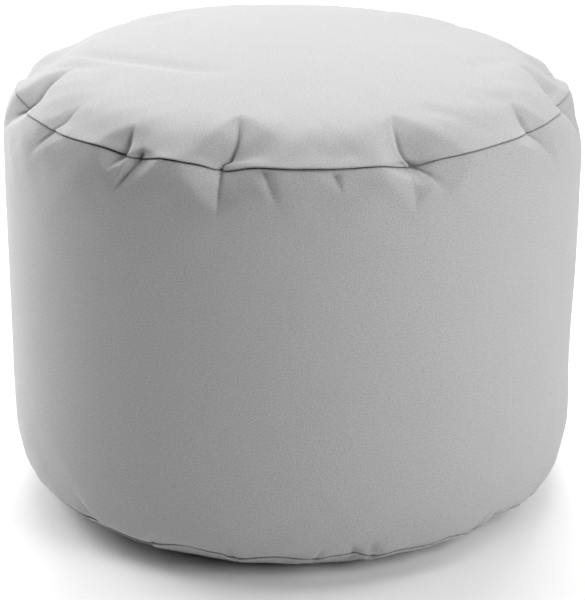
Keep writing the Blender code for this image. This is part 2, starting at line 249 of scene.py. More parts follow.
# Soft folds on the crown: a trough this deep, its half-widths towards the seam and away from it,
# in millimetres, and its path, a list of (azimuth, millimetres from the seam)
Fold = namedtuple("Fold", "depth outer inner path")
CROWN_FOLDS = (
    Fold(2.6, 12, 7, ((-100, 40), (-84, 84), (-66, 120), (-30, 150))),
    Fold(1.4, 8, 10, ((-88, 30), (-80, 60), (-72, 84))),
    Fold(1.2, 10, 8, ((-52, 34), (-58, 60), (-66, 84))),
    Fold(1.6, 9, 7, ((104, 30), (98, 18), (92, 12))),
    Fold(1.6, 12, 8, ((52, 46), (60, 36), (66, 30))),
    Fold(1.3, 12, 8, ((32, 62), (38, 44), (42, 32))),
    Fold(1.5, 14, 9, ((88, 50), (84, 72), (70, 96))),
    Fold(1.6, 14, 10, ((150, 44), (164, 66), (182, 74))),
    Fold(1.8, 14, 10, ((-150, 48), (-140, 74), (-124, 84))),
)

FOLD_FADE_POWER = 0.8

# The seam's height at an azimuth, in millimetres above its mean. It fades out within the reach
SeamPoint = namedtuple("SeamPoint", "azimuth rise")
TOP_SEAM_LINE = (
    SeamPoint(-170, 1.2), SeamPoint(-150, -1.5), SeamPoint(-138, 1.6), SeamPoint(-127, -2.5),
    SeamPoint(-112, 1.4), SeamPoint(-98, -1.0), SeamPoint(-83, 2.4), SeamPoint(-73, -0.8),
    SeamPoint(-61, 1.6), SeamPoint(-54, 0.6), SeamPoint(-41, 1.9), SeamPoint(-33, -1.2),
    SeamPoint(-25, 2.2), SeamPoint(-19, 1.2), SeamPoint(-14, -1.8), SeamPoint(-7, 1.9),
    SeamPoint(1, 0.2), SeamPoint(7, -0.2), SeamPoint(15, 0.4), SeamPoint(24.4, -2.4),
    SeamPoint(31, -0.1), SeamPoint(44, 0.4), SeamPoint(55, -0.6), SeamPoint(64, 0.4),
    SeamPoint(78, -2.0), SeamPoint(88, 1.8), SeamPoint(101, -1.5), SeamPoint(113, 1.6),
    SeamPoint(126, -3.5), SeamPoint(140, 1.5), SeamPoint(154, -1.0), SeamPoint(167, 1.2),
    SeamPoint(180, -3.0),
)
BASE_SEAM_LINE = (
    SeamPoint(-160, 2.0), SeamPoint(-144, -1.4), SeamPoint(-128, 1.5), SeamPoint(-110, -1.2),
    SeamPoint(-92, 2.5), SeamPoint(-80, -0.8), SeamPoint(-69, -1.2), SeamPoint(-60, 1.3),
    SeamPoint(-45, 0.9), SeamPoint(-31, -1.5), SeamPoint(-22, 4.6), SeamPoint(-15, 2.3),
    SeamPoint(-12, -1.5), SeamPoint(-3, 2.8), SeamPoint(4.5, -0.2), SeamPoint(8.5, 2.5),
    SeamPoint(13, 3.2), SeamPoint(16.6, -2.6), SeamPoint(22, 0.1), SeamPoint(29, -1.2),
    SeamPoint(33, 0.5), SeamPoint(39.5, -1.9), SeamPoint(47, 4.6), SeamPoint(59, -1.6),
    SeamPoint(72, 1.2), SeamPoint(88, 2.0), SeamPoint(102, -1.0), SeamPoint(116, -1.5),
    SeamPoint(132, 0.8), SeamPoint(147, 2.0), SeamPoint(172, -1.6),
)
SEAM_LINE_REACH = 34 * MM

# The small unevenness of the filled cloth: waves round the bag, their height, their length up and
# down the cloth and their lean. They wander sideways a few times round the bag. Beyond the reach
# only a share of them is left, and at the end none
Ripple = namedtuple("Ripple", "turns height length lean shift")
RIPPLES = (
    Ripple(17, 0.55 * MM, 74 * MM, 5, 0.4), Ripple(29, 0.40 * MM, 52 * MM, -9, 2.1),
    Ripple(11, 0.60 * MM, 118 * MM, 3, 4.0), Ripple(43, 0.22 * MM, 39 * MM, 13, 5.2),
)
RIPPLE_WANDER = 3
RIPPLE_REST = 0.22
RIPPLE_REACH = 60 * MM
RIPPLE_END = 180 * MM

# Where the top seam gapes, and by how much: the edge of the crown is lifted within the reach
SeamOpening = namedtuple("SeamOpening", "azimuth half_width gap")
TOP_SEAM_OPENINGS = (
    SeamOpening(3.5, 9, 1.3 * MM), SeamOpening(-22, 5, 0.7 * MM), SeamOpening(-38, 4, 0.8 * MM),
    SeamOpening(140, 9, 0.9 * MM), SeamOpening(-168, 8, 1.0 * MM), SeamOpening(-112, 7, 0.8 * MM),
)
OPENING_REACH = 9 * MM

# Ripples grow from nothing at a seam to their whole height at its hold. Within the hold a panel's
# points move level, as the wall's do, and beyond it along their own outward directions. Moves up
# or down, and all moves of the base panel, grow from nothing on the floor to whole at its reach
SEAM_HOLD = 12 * MM
FLOOR_REACH = 8 * MM

# Broad hollows where the filling has settled, at a height of the wall or a distance from the
# crown's seam
Hollow = namedtuple("Hollow", "azimuth place depth half_width half_reach")
CROWN_HOLLOWS = (
    Hollow(-104, 26 * MM, 10 * MM, 14, 22 * MM),
    Hollow(96, 16 * MM, 4.5 * MM, 12, 16 * MM),
    Hollow(118, 0 * MM, 5.0 * MM, 30, 120 * MM),
    Hollow(172, 30 * MM, 4.0 * MM, 22, 34 * MM),
)
WALL_HOLLOWS = (
    Hollow(74, 120 * MM, 3.0 * MM, 30, 70 * MM),
    Hollow(90, 340 * MM, 4.0 * MM, 20, 15 * MM),
    Hollow(-38, 200 * MM, 2.5 * MM, 26, 90 * MM),
    Hollow(150, 170 * MM, 4.0 * MM, 28, 80 * MM),
    Hollow(-135, 130 * MM, 3.5 * MM, 32, 80 * MM),
)


def turn_between(azimuth, centre):
    """The signed angle from centre to azimuth, from -180 to 180 degrees."""
    return (azimuth - centre + 180) % 360 - 180


def bell(distance, half_width):
    """1 at no distance, falling smoothly to 1/e at the half-width."""
    return np.exp(-((distance / half_width) ** 2))


def spread_azimuths():
    """Azimuths right round the bag, closer together where a crease crosses a seam."""
    even = np.arange(-180, 180, EVEN_AZIMUTH_STEP)
    density = np.ones(len(even))
    for pucker in TOP_PUCKERS:
        turn = turn_between(even, pucker.wall[0][0])
        density += PUCKER_CROWDING * bell(turn, PUCKER_CROWDING_WIDTH)
    total = np.concatenate(([0.0], np.cumsum(density)))
    edges = np.append(even, 180.0)
    return np.interp(np.arange(SEGMENTS) * total[-1] / SEGMENTS, total, edges)


AZIMUTHS = spread_azimuths()


def graded_steps(length, largest, fine_ends):
    """Distances from 0 to length, with steps that grow from the start, or from both ends."""
    reach = length / 2 if fine_ends == 2 else length
    steps = [0.0]
    step = FINEST_STEP
    while steps[-1] < reach:
        steps.append(steps[-1] + step)
        step = min(step * STEP_GROWTH, largest)
    one_way = np.array(steps) * reach / steps[-1]
    if fine_ends == 2:
        return np.concatenate((one_way, length - one_way[-2::-1]))
    return one_way


def arc(centre, half_axes, angles):
    """Points of an ellipse at these angles, in degrees, as (radius, height)."""
    turns = np.radians(angles)
    across = centre[0] + half_axes[0] * np.cos(turns)
    return np.stack((across, centre[1] + half_axes[1] * np.sin(turns)), 1)


def lengths_along(outline):
    """How far each point of an outline is from its start, along it."""
    return np.concatenate(([0.0], np.cumsum(np.linalg.norm(np.diff(outline, axis=0), axis=1))))


def sample_outline(outline, distances):
    """Points and outward directions of an outline, outside on its right, at distances along it."""
    along = lengths_along(outline)

    def read(places):
        return np.stack([np.interp(places, along, outline[:, k]) for k in (0, 1)], 1)

    way = read(distances + SLOPE_REACH) - read(distances - SLOPE_REACH)
    way /= np.linalg.norm(way, axis=1)[:, None]
    return read(distances), np.stack((way[:, 1], -way[:, 0]), 1)


def crown_outline():
    """From the seam's tip to the crown's middle: the lower of a dome and a cone, softened."""
    share = 1 - np.linspace(0, 1, CROWN_POINTS) ** CROWN_CROWDING
    edge = TOP_SEAM_HEIGHT + SEAM_GAP / 2 + SEAM_ROLL
    dome_edge = CAD_BOX[1].z - CROWN_FALL
    cone_edge = edge + CROWN_SOFTNESS**2 / (dome_edge - edge)
    dome = dome_edge + CROWN_FALL * (1 - share**2)
    cone = cone_edge + CONE_SLOPE * TOP_SEAM_RADIUS * (1 - share)
    height = (dome + cone) / 2 - np.hypot((dome - cone) / 2, CROWN_SOFTNESS)
    return np.stack((TOP_SEAM_RADIUS * share, height), 1)


CROWN_LENGTH = lengths_along(crown_outline())[-1]


def disc_points(radius):
    """How many points a ring of a round panel has at this radius."""
    halvings = sum(radius <= limit for limit in HALVING_RADII)
    return SEGMENTS >> halvings


def crown_rings():
    """From the blind end of the seam's groove, over its roll, to the middle of the crown."""
    roll_centre = (TOP_SEAM_RADIUS - SEAM_ROLL, TOP_SEAM_HEIGHT + SEAM_GAP / 2 + SEAM_ROLL)
    roll_angles = np.linspace(*CROWN_ROLL, CROWN_ROLL_RINGS)
    roll = arc(roll_centre, (SEAM_ROLL, SEAM_ROLL), roll_angles)
    blind_end = (TOP_SEAM_RADIUS - SEAM_DEPTH, roll_centre[1] - SEAM_ROLL)
    rings = [Ring(*blind_end, 0.0, -1.0, SEGMENTS, 0.0, FAR, PANEL)]
    for point, angle in zip(roll, np.radians(roll_angles)):
        rings.append(Ring(*point, math.cos(angle), math.sin(angle), SEGMENTS, 0.0, FAR, PANEL))
    distances = graded_steps(CROWN_LENGTH, CROWN_STEP, 1)
    points, outs = sample_outline(crown_outline(), distances)
    for point, out, distance in zip(points, outs, distances):
        middle = distance == distances[-1]
        count = 1 if middle else disc_points(point[0])
        out = (0.0, 1.0) if middle else out
        rings.append(Ring(*point, *out, count, distance, FAR, PANEL))
    return rings


def wall_rings():
    """From the base seam's groove up the side to the top seam's groove."""
    base_groove = BASE_SEAM_HEIGHT + SEAM_GAP / 2
    top_groove = TOP_SEAM_HEIGHT - SEAM_GAP / 2
    low = (BASE_SEAM_RADIUS - SEAM_ROLL, base_groove + LOWER_SHOULDER)
    half_axes = (WALL_RADIUS - low[0], LOWER_SHOULDER)
    lower = arc(low, half_axes, np.linspace(-90, 0, SHOULDER_POINTS))
    depth = np.linspace(1, 0, SHOULDER_POINTS) ** 2 * LONG_REACH
    long_shoulder = WALL_RADIUS - TOP_SEAM_RADIUS - SHORT_SHOULDER
    short_inset = SHORT_SHOULDER * np.exp(-depth / SHORT_REACH)
    long_inset = long_shoulder * (1 - depth / LONG_REACH) ** LONG_SHOULDER_POWER
    upper = np.stack((WALL_RADIUS - (short_inset + long_inset), top_groove - depth), 1)
    outline = np.concatenate((lower, upper))
    length = lengths_along(outline)[-1]
    distances = graded_steps(length, WALL_STEP, 2)
    points, outs = sample_outline(outline, distances)
    base_end = (BASE_SEAM_RADIUS - SEAM_DEPTH, base_groove)
    rings = [Ring(*base_end, 0.0, -1.0, SEGMENTS, FAR, 0.0, WALL)]
    for point, out, distance in zip(points, outs, distances):
        rings.append(Ring(*point, *out, SEGMENTS, length - distance, distance, WALL))
    top_end = (TOP_SEAM_RADIUS - SEAM_DEPTH, top_groove)
    rings.append(Ring(*top_end, 0.0, 1.0, SEGMENTS, 0.0, FAR, WALL))
    return rings


def base_rings():
    """From the middle of the floor to the foot, up its rounded edge and into the seam's groove."""
    roll_height = BASE_SEAM_HEIGHT - SEAM_GAP / 2 - SEAM_ROLL
    rings = [Ring(0.0, 0.0, 0.0, -1.0, 1, FAR, FAR, FLOOR)]
    for floor_share in FLOOR_RING_SHARES:
        radius = FOOT_RADIUS * floor_share
        rings.append(Ring(radius, 0.0, 0.0, -1.0, disc_points(radius), FAR, FAR, FLOOR))
    share = np.linspace(0, 1, RISE_POINTS)
    rise_width = BASE_SEAM_RADIUS - FOOT_RADIUS
    rise = np.stack((FOOT_RADIUS + rise_width * share, roll_height * share**BASE_RISE_POWER), 1)
    length = lengths_along(rise)[-1]
    distances = length - graded_steps(length, BASE_STEP, 1)[::-1]
    points, outs = sample_outline(rise, distances)
    for point, out, distance in zip(points, outs, distances):
        rings.append(Ring(*point, *out, SEGMENTS, FAR, length - distance, PANEL))
    roll_centre = (BASE_SEAM_RADIUS - SEAM_ROLL, roll_height)
    roll = arc(roll_centre, (SEAM_ROLL, SEAM_ROLL), BASE_ROLL_ANGLES)
    for point, angle in zip(roll, np.radians(BASE_ROLL_ANGLES)):
        rings.append(Ring(*point, math.cos(angle), math.sin(angle), SEGMENTS, FAR, 0.0, PANEL))
    blind_end = (BASE_SEAM_RADIUS - SEAM_DEPTH, roll_height + SEAM_ROLL)
    rings.append(Ring(*blind_end, 0.0, 1.0, SEGMENTS, FAR, 0.0, PANEL))
    return rings


def smooth_path(points):
    """A smooth curve through a path's points, in its own (azimuth, millimetres)."""
    points = np.array(points, float)
    along = np.linspace(0, len(points) - 1, PATH_POINTS)
    padded = np.concatenate(([2 * points[0] - points[1]], points, [2 * points[-1] - points[-2]]))
    index = np.minimum(along.astype(int), len(points) - 2)
    t = (along - index)[:, None]
    a, b, c, d = (padded[index + k] for k in range(4))
    square = 2 * a - 5 * b + 4 * c - d
    cube = 3 * b - a - 3 * c + d
    return 0.5 * (2 * b + (c - a) * t + square * t**2 + cube * t**3)


def across_and_along(x, y, path):
    """How far points are from a path, positive on its right, and their share along it."""
    lengths = lengths_along(path)
    nearest = np.full(x.shape, np.inf)
    across = np.zeros(x.shape)
    along = np.zeros(x.shape)
    for k in range(len(path) - 1):
        way = path[k + 1] - path[k]
        size = math.hypot(*way)
        dx = x - path[k][0]
        dy = y - path[k][1]
        t = (dx * way[0] + dy * way[1]) / size**2
        low = -PATH_OVERRUN if k == 0 else 0.0
        high = PATH_OVERRUN if k == len(path) - 2 else 1.0
        t = np.clip(t, low, high)
        away = np.hypot(dx - t * way[0], dy - t * way[1])
        side = np.where(way[0] * dy - way[1] * dx < 0, 1.0, -1.0)
        closer = away < nearest
        nearest = np.where(closer, away, nearest)
        across = np.where(closer, side * away, across)
        along = np.where(closer, (lengths[k] + t * size) / lengths[-1], along)
    return across, along


def middle_line(pucker, on_panel):
    """A pucker's middle line: distances from the seam, and turns from where it starts."""
    route = pucker.panel if on_panel else pucker.wall
    path = smooth_path(route)
    return path[:, 1] * MM, path[:, 0] - route[0][0]


def facet_depth(across, along, pucker, power):
    """How deep a pucker's facets are, as a share of its depth, at places across and along it."""
    width = np.where(across < 0, pucker.before, pucker.after) * MM
    room = np.where(along < 1, np.maximum(1 - along, 0) ** power, 1 - along)
    inside = (room - np.abs(across) / width) / FACET_SOFTNESS
    return FACET_SOFTNESS * np.logaddexp(0, inside)


def pucker_move(azimuth, distance, on_panel, puckers):
    """How far the puckers of a seam move the points on one of its sides outwards."""
    outward = np.zeros(azimuth.shape)
    power = PANEL_FACET_POWER if on_panel else WALL_FACET_POWER
    for pucker in puckers:
        if on_panel and not pucker.panel:
            continue
        line_distance, line_turn = middle_line(pucker, on_panel)
        reach = line_distance[-1]
        turn = turn_between(azimuth, pucker.wall[0][0])
        near = np.abs(turn) < PUCKER_SPAN
        near &= distance < PUCKER_OVERRUN * reach + PUCKER_MARGIN
        flat_radius = CROWN_LENGTH - distance[near] * on_panel
        lean = np.interp(distance[near], line_distance, line_turn)
        across = flat_radius * np.radians(turn[near] - lean)
        along = distance[near] / reach
        fade = np.clip(1 - (along / CREASE_SHARE) ** CREASE_FADE_POWER, 0, 1)
        crease_width = CREASE_WIDTH * (CREASE_END_WIDTH + CREASE_NARROWING * fade)
        crease_shape = np.exp(-np.abs(across / crease_width) ** CREASE_EDGE_POWER)
        crease = pucker.crease * MM * fade * crease_shape
        step_side = 1 if pucker.step > 0 else -1
        exponent = step_side * across / STEP_SOFTNESS
        lower = 1 / (1 + np.exp(np.clip(exponent, -EXPONENT_LIMIT, EXPONENT_LIMIT)))
        step_fade = np.sin(math.pi * np.clip(along, 0, 1) ** STEP_FADE_POWER) * on_panel
        step_shape = step_fade * lower * np.exp(-np.abs(across) / STEP_REACH)
        step = abs(pucker.step) * MM * step_shape
        lip_side = 1 if pucker.lip > 0 else -1
        lip = abs(pucker.lip) * MM * fade * bell(across + lip_side * LIP_PLACE, LIP_WIDTH)
        facets = pucker.depth * MM * facet_depth(across, along, pucker, power)
        move = lip - crease - step - facets
        if not pucker.panel:
            move *= np.clip(distance[near] / DENT_START, 0, 1)
        outward[near] += move
    return outward


def seam_pull(azimuth, puckers):
    """How far the puckers pull their seam in."""
    pull = np.zeros(azimuth.shape)
    at_seam = np.zeros(azimuth.shape)
    for pucker in puckers:
        if not pucker.panel:
            continue
        across = CROWN_LENGTH * np.radians(turn_between(azimuth, pucker.wall[0][0]))
        pull += pucker.depth * MM * facet_depth(across, at_seam, pucker, WALL_FACET_POWER)
    return pull


def fold_move(azimuth, distance):
    """How far the soft folds of the crown move points outwards."""
    outward = np.zeros(azimuth.shape)
    for fold in CROWN_FOLDS:
        path = smooth_path(fold.path)
        start = path[0, 0]
        turn = np.radians(turn_between(azimuth, start))
        radius = CROWN_LENGTH - distance
        x, y = radius * np.sin(turn), -radius * np.cos(turn)
        path_turn = np.radians(path[:, 0] - start)
        path_radius = CROWN_LENGTH - path[:, 1] * MM
        line = np.stack((path_radius * np.sin(path_turn), -path_radius * np.cos(path_turn)), 1)
        across, along = across_and_along(x, y, line)
        fade = np.sin(math.pi * np.clip(along, 0, 1)) ** FOLD_FADE_POWER
        width = np.where(across < 0, fold.outer, fold.inner) * MM
        outward -= fold.depth * MM * fade * bell(across, width)
    return outward


def seam_rise(azimuth, seam_line):
    """The height of a seam above its mean, on a smooth closed curve through its points."""
    rows = sorted((row.azimuth, row.rise) for row in seam_line)
    places = np.array([row[0] for row in rows])
    rises = np.array([row[1] for row in rows]) * MM
    places = np.concatenate((places[-2:] - 360, places, places[:2] + 360))
    rises = np.concatenate((rises[-2:], rises, rises[:2]))
    index = np.clip(np.searchsorted(places, azimuth) - 1, 1, len(places) - 3)
    t = (azimuth - places[index]) / (places[index + 1] - places[index])
    eased = t * t * (3 - 2 * t)
    return rises[index] + (rises[index + 1] - rises[index]) * eased


def hollow_depth(azimuth, place, hollows):
    """How deep the hollows are, at heights of the wall or distances from the crown's seam."""
    depth = np.zeros(azimuth.shape)
    for hollow in hollows:
        round_it = bell(turn_between(azimuth, hollow.azimuth), hollow.half_width)
        depth += hollow.depth * round_it * bell(place - hollow.place, hollow.half_reach)
    return depth


def unevenness(azimuth, distance):
    """The small, soft unevenness of filled cloth, more of it near a seam."""
    turn = np.radians(azimuth)
    depth = np.zeros(azimuth.shape)
    for wave in RIPPLES:
        wander = np.sin(RIPPLE_WANDER * turn + wave.shift)
        round_it = np.sin(wave.turns * turn + wave.shift + wander)
        up_it = np.sin(2 * math.pi * distance / wave.length + wave.lean * turn)
        depth += wave.height * round_it * up_it
    rest = RIPPLE_REST * np.clip(1 - distance / RIPPLE_END, 0, 1)
    return depth * (rest + (1 - RIPPLE_REST) * bell(distance, RIPPLE_REACH))


# The points of a piece as arrays. The inset is how far a point lies inside its ring's surface
Cloud = namedtuple("Cloud", "azimuth radius height out_r out_z from_top from_base kind inset")


def cloud_of(layers):
    """Every point of the (ring, inset) layers, as arrays."""
    columns = [[] for _ in Cloud._fields]
    for ring, inset in layers:
        azimuths = AZIMUTHS[:: SEGMENTS // ring.points]
        columns[0].append(azimuths)
        for column, field in zip(columns[1:-1], Cloud._fields[1:-1]):
            column.append(np.full(len(azimuths), getattr(ring, field), float))
        columns[-1].append(np.full(len(azimuths), inset, float))
    return Cloud(*(np.concatenate(column) for column in columns))


def placed(cloud):
    """Where the points of a cloud are, with every fold in place."""
    on_crown = (cloud.kind == PANEL) & (cloud.from_top < FAR)
    on_base = (cloud.kind == PANEL) & (cloud.from_base < FAR)
    on_wall = cloud.kind == WALL
    on_floor = cloud.kind == FLOOR
    azimuth, from_top, from_base = cloud.azimuth, cloud.from_top, cloud.from_base
    from_seam = np.minimum(from_top, from_base)

    outward = np.zeros(len(azimuth))
    for part, distance, on_panel, puckers in (
        (on_crown, from_top, True, TOP_PUCKERS),
        (on_base, from_base, True, BASE_PUCKERS),
        (on_wall, from_top, False, TOP_PUCKERS),
        (on_wall, from_base, False, BASE_PUCKERS),
    ):
        outward[part] += pucker_move(azimuth[part], distance[part], on_panel, puckers)
    outward[on_crown] += fold_move(azimuth[on_crown], from_top[on_crown])
    outward[on_wall] -= hollow_depth(azimuth[on_wall], cloud.height[on_wall], WALL_HOLLOWS)
    ripples = unevenness(azimuth, np.minimum(from_seam, FAR))
    outward += ripples * np.clip(from_seam / SEAM_HOLD, 0, 1)

    top_fade = np.clip(1 - from_top / SEAM_LINE_REACH, 0, 1) ** 2
    base_fade = np.clip(1 - from_base / SEAM_LINE_REACH, 0, 1) ** 2
    top_rise = seam_rise(azimuth, TOP_SEAM_LINE) - PULL_SLANT * seam_pull(azimuth, TOP_PUCKERS)
    base_rise = seam_rise(azimuth, BASE_SEAM_LINE) - PULL_SLANT * seam_pull(azimuth, BASE_PUCKERS)
    sunk = hollow_depth(azimuth, from_top * on_crown, CROWN_HOLLOWS)
    up = top_rise * top_fade + base_rise * base_fade - sunk * np.where(on_crown, 1.0, top_fade)
    for opening in TOP_SEAM_OPENINGS:
        wide = bell(turn_between(azimuth, opening.azimuth), opening.half_width)
        up += opening.gap * wide * bell(from_top, OPENING_REACH) * on_crown

    lift = np.clip(cloud.height / FLOOR_REACH, 0, 1)
    up *= lift
    outward[on_base] *= lift[on_base]
    outward[on_floor] = 0
    up[on_floor] = 0

    held = np.where(on_wall, 1.0, bell(from_seam, SEAM_HOLD))
    along_out = outward * (1 - held) - cloud.inset
    radius = cloud.radius + outward * held + along_out * cloud.out_r
    height = cloud.height + along_out * cloud.out_z + up
    turn = np.radians(azimuth)
    return np.stack((radius * np.sin(turn), -radius * np.cos(turn), height), 1)


def stitched_faces(counts):
    """Faces between rings of these sizes. Each has as many, twice or half the last one's points."""
    faces = []
    start = 0
    for below, above in zip(counts, counts[1:]):
        first, second = start, start + below
        start = second
        if below == above:
            i = np.arange(below)
            j = (i + 1) % below
            faces.append(np.stack((first + i, first + j, second + j, second + i), 1))
            continue
        fine, coarse = max(below, above), min(below, above)
        fine_at, coarse_at = (first, second) if below > above else (second, first)
        if coarse == 1:
            i = np.arange(fine)
            parts = [np.stack((fine_at + i, fine_at + (i + 1) % fine, np.full(fine, coarse_at)), 1)]
        else:
            k = np.arange(coarse)
            here, there = coarse_at + k, coarse_at + (k + 1) % coarse
            one, two, three = (fine_at + (2 * k + step) % fine for step in range(3))
            triangles = ((one, two, here), (two, there, here), (two, three, there))
            parts = [np.stack(corners, 1) for corners in triangles]
        for part in parts:
            faces.append(part if below > above else part[:, ::-1])
    return faces


def cloth_places(cloud):
    """Where each point is on its flat piece of cloth, in metres."""
    turn = np.radians(cloud.azimuth)
    on_wall = cloud.kind == WALL
    from_seam = np.where(cloud.from_top < FAR, cloud.from_top, cloud.from_base)
    flat_radius = np.where(cloud.kind == FLOOR, cloud.radius, CROWN_LENGTH - from_seam)
    u = np.where(on_wall, WALL_RADIUS * turn, flat_radius * np.sin(turn))
    v = np.where(on_wall, cloud.height, -flat_radius * np.cos(turn))
    return np.stack((u, v), 1)


# The name of the UV map, which holds where each point is on its flat piece of cloth
THREADS = "threads"


def lay_threads(mesh, cloud):
    """The UV map of the cloth. Where the wall's band meets itself, a face keeps to one side."""
    corners = np.zeros(len(mesh.loops), int)
    mesh.loops.foreach_get("vertex_index", corners)
    starts = np.zeros(len(mesh.polygons), int)
    mesh.polygons.foreach_get("loop_start", starts)
    places = cloth_places(cloud)[corners]
    face_sizes = np.diff(np.append(starts, len(corners)))
    furthest = np.repeat(np.maximum.reduceat(places[:, 0], starts), face_sizes)
    quarter_turn = math.pi / 2 * WALL_RADIUS
    torn = cloud.kind[corners] == WALL
    torn &= (places[:, 0] < -quarter_turn) & (furthest > quarter_turn)
    places[torn, 0] += 4 * quarter_turn
    layer = mesh.uv_layers.new(name=THREADS)
    layer.data.foreach_set("uv", places.ravel())


def make_piece(name, layers, material):
    """A closed body from its layers, listed from its lowest middle outwards and up."""
    cloud = cloud_of(layers)
    points = placed(cloud)
    faces = stitched_faces([ring.points for ring, _ in layers])
    mesh = bpy.data.meshes.new(name)
    mesh.from_pydata(points.tolist(), [], [face for part in faces for face in part.tolist()])
    mesh.shade_smooth()
    lay_threads(mesh, cloud)
    mesh.materials.append(material)
    piece = bpy.data.objects.new(name, mesh)
    bpy.context.scene.collection.objects.link(piece)
    return piece


# The cloth: thick and thin threads, or slubs, in both directions, a fine speckle, and a broad
# cloudiness. Scales are in noise waves a metre, or where the noise is stretched, a thread or slub.
# The slubs of the two directions come from places of the noise that are far apart
CLOTH_TINT = (0.420, 0.420, 0.424)
THREAD_PITCH = 0.8 * MM
SLUB_LENGTH = 4.5 * MM
SLUB_SCALE = 0.9
SLUB_DETAIL = 2
SLUB_ROUGHNESS = 0.5
SLUB_HEIGHT = 0.8
WARP_PLACE, WEFT_PLACE = (0, 0, 3), (5, 0, 0)
SPECKLE_SIZE = 1.3 * MM
SPECKLE_DETAIL = 1.5
SPECKLE_ROUGHNESS = 0.6
CLOUD_SCALE = 22
CLOUD_DETAIL = 3
CLOUD_ROUGHNESS = 0.55

# Each of these changes the tone by an amount times how far it is from its own mean
Variation = namedtuple("Variation", "mean amount")
SLUB_TONE = Variation(1.0, 0.14)
SPECKLE_TONE = Variation(0.5, 0.75)
CLOUD_TONE = Variation(0.5, 0.05)
WEAVE_TONE = Variation(1.3, 0.05)

# Constants of the shader's own sockets
BUMP_STRENGTH = 0.35
BUMP_DISTANCE = 0.12 * MM
CLOTH_FINISH = {
    "Roughness": 0.72,
    "Specular IOR Level": 0.35,
    "Sheen Weight": 0.12,
    "Sheen Roughness": 0.45,
}

# The three pieces start at other places of the same patterns
WALL_OFFSET, TOP_OFFSET, BASE_OFFSET = 0.0, 0.21, 0.43
OFFSET_SLOPE = 0.37


def new_node(tree, node, **settings):
    """A new shader node with these settings."""
    made = tree.nodes.new(node)
    for key, value in settings.items():
        setattr(made, key, value)
    return made


def math_node(tree, operation, first, second=None):
    """The result of a calculation with sockets or numbers."""
    node = new_node(tree, "ShaderNodeMath", operation=operation)
    for socket, value in zip(node.inputs, (first, second)):
        if isinstance(value, (int, float)):
            socket.default_value = value
        elif value is not None:
            tree.links.new(value, socket)
    return node.outputs[0]


def noise_node(tree, vector, scale, detail, roughness):
    """Noise from 0 to 1."""
    node = new_node(tree, "ShaderNodeTexNoise")
    node.inputs["Scale"].default_value = scale
    node.inputs["Detail"].default_value = detail
    node.inputs["Roughness"].default_value = roughness
    tree.links.new(vector, node.inputs["Vector"])
    return node.outputs["Fac"]


def stretched(tree, vector, scale, offset):
    """A vector, scaled and then moved."""
    node = new_node(tree, "ShaderNodeMapping")
    node.inputs["Scale"].default_value = scale
    node.inputs["Location"].default_value = offset
    tree.links.new(vector, node.inputs["Vector"])
    return node.outputs["Vector"]


def weave_height(tree, places):
    """The height of a plain weave: at each crossing one thread is over the other."""
    split = new_node(tree, "ShaderNodeSeparateXYZ")
    tree.links.new(places, split.inputs[0])
    wave = math.pi / THREAD_PITCH
    warp = math_node(tree, "SINE", math_node(tree, "MULTIPLY", split.outputs["X"], wave))
    weft = math_node(tree, "SINE", math_node(tree, "MULTIPLY", split.outputs["Y"], wave))
    crossing = math_node(tree, "MULTIPLY", warp, weft)
    over = math_node(tree, "ADD", math_node(tree, "ABSOLUTE", warp), crossing)
    under = math_node(tree, "SUBTRACT", math_node(tree, "ABSOLUTE", weft), crossing)
    return math_node(tree, "MAXIMUM", over, under)


def slub_height(tree, places):
    """Noise drawn out along the threads of both directions, added up."""
    across, along = 1 / THREAD_PITCH, 1 / SLUB_LENGTH
    warp_places = stretched(tree, places, (across, along, 1), WARP_PLACE)
    weft_places = stretched(tree, places, (along, across, 1), WEFT_PLACE)
    warp = noise_node(tree, warp_places, SLUB_SCALE, SLUB_DETAIL, SLUB_ROUGHNESS)
    weft = noise_node(tree, weft_places, SLUB_SCALE, SLUB_DETAIL, SLUB_ROUGHNESS)
    return math_node(tree, "ADD", warp, weft)


